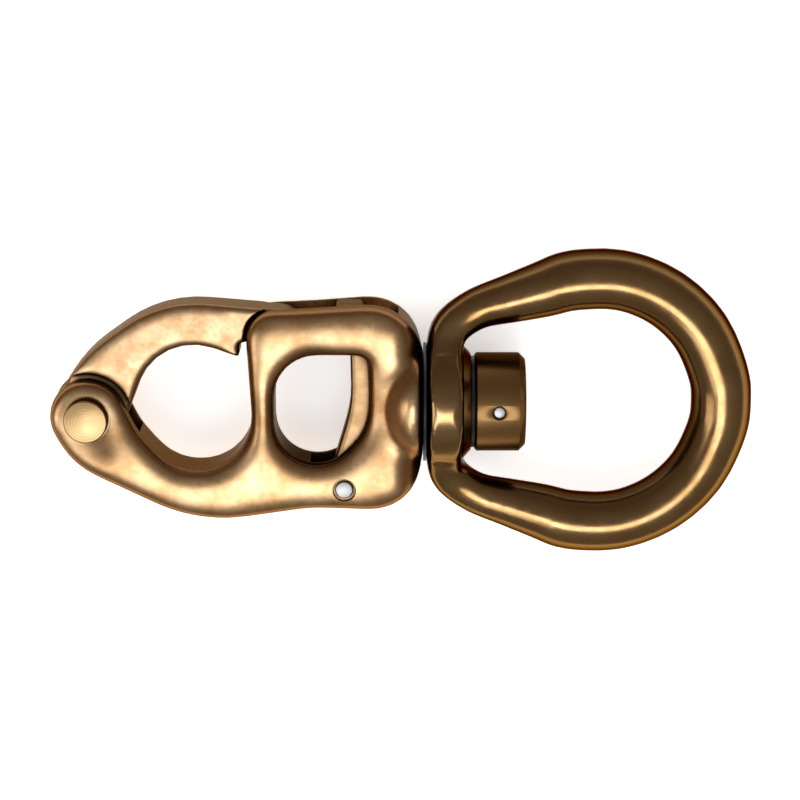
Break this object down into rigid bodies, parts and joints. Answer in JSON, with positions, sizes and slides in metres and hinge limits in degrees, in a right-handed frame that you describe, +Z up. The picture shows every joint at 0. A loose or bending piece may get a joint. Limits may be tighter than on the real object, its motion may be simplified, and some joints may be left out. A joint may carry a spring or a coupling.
{
  "type": "trigger snap shackle",
  "caption": "Bronze trigger snap shackle: a slotted body with a jaw, a hinged snap arm held by a finger trigger, and a large swivelling bail on a collared shank.",
  "frame": {"origin": "centre of the bounding box in X and Y, on the surface it lies on in Z", "axes": "+X along the shackle from the jaw to the bail, +Y towards the side where the snap arm opens, +Z up, across the two cheeks"},
  "size_m": [0.1035, 0.046, 0.0176],
  "materials": {
    "bronze": "satin polished bronze",
    "pin_bronze": "turned, fine concentric marks",
    "dark_bronze": "smooth darker bronze",
    "steel": "stainless pin ends",
    "spring_steel": "drawn wire",
    "black_plastic": "matte bearing plastic"
  },
  "bodies": {
    "shackle_body": {"body": "bronze", "pivot_pin": "pin_bronze", "trigger_pin": "steel", "trigger_spring": "spring_steel", "thrust_washer": "black_plastic", "outer_washer": "black_plastic", "swivel_collar": "dark_bronze", "collar_pin": "steel"},
    "snap_arm": {"arm": "bronze"},
    "finger_trigger": {"trigger": "bronze"},
    "swivel_bail": {"bail": "dark_bronze", "swivel_bush": "black_plastic"}
  },
  "joints": [
    {"name": "arm_hinge", "type": "hinge", "parent": "shackle_body", "child": "snap_arm", "pos_m": [-0.04618, -0.0016, 0.0088], "axis": [0, 0, 1], "range_deg": [0, 100]},
    {"name": "trigger_hinge", "type": "hinge", "parent": "shackle_body", "child": "finger_trigger", "pos_m": [-0.00847, -0.0122, 0.0088], "axis": [0, 0, -1], "range_deg": [0, 9], "stiffness_Nm_per_rad": 0.1, "springref_deg": -8.59, "deforming": ["trigger_spring"]},
    {"name": "bail_swivel", "type": "hinge", "parent": "shackle_body", "child": "swivel_bail", "pos_m": [0.00643, 0, 0.0088], "axis": [1, 0, 0], "continuous": true}
  ]
}
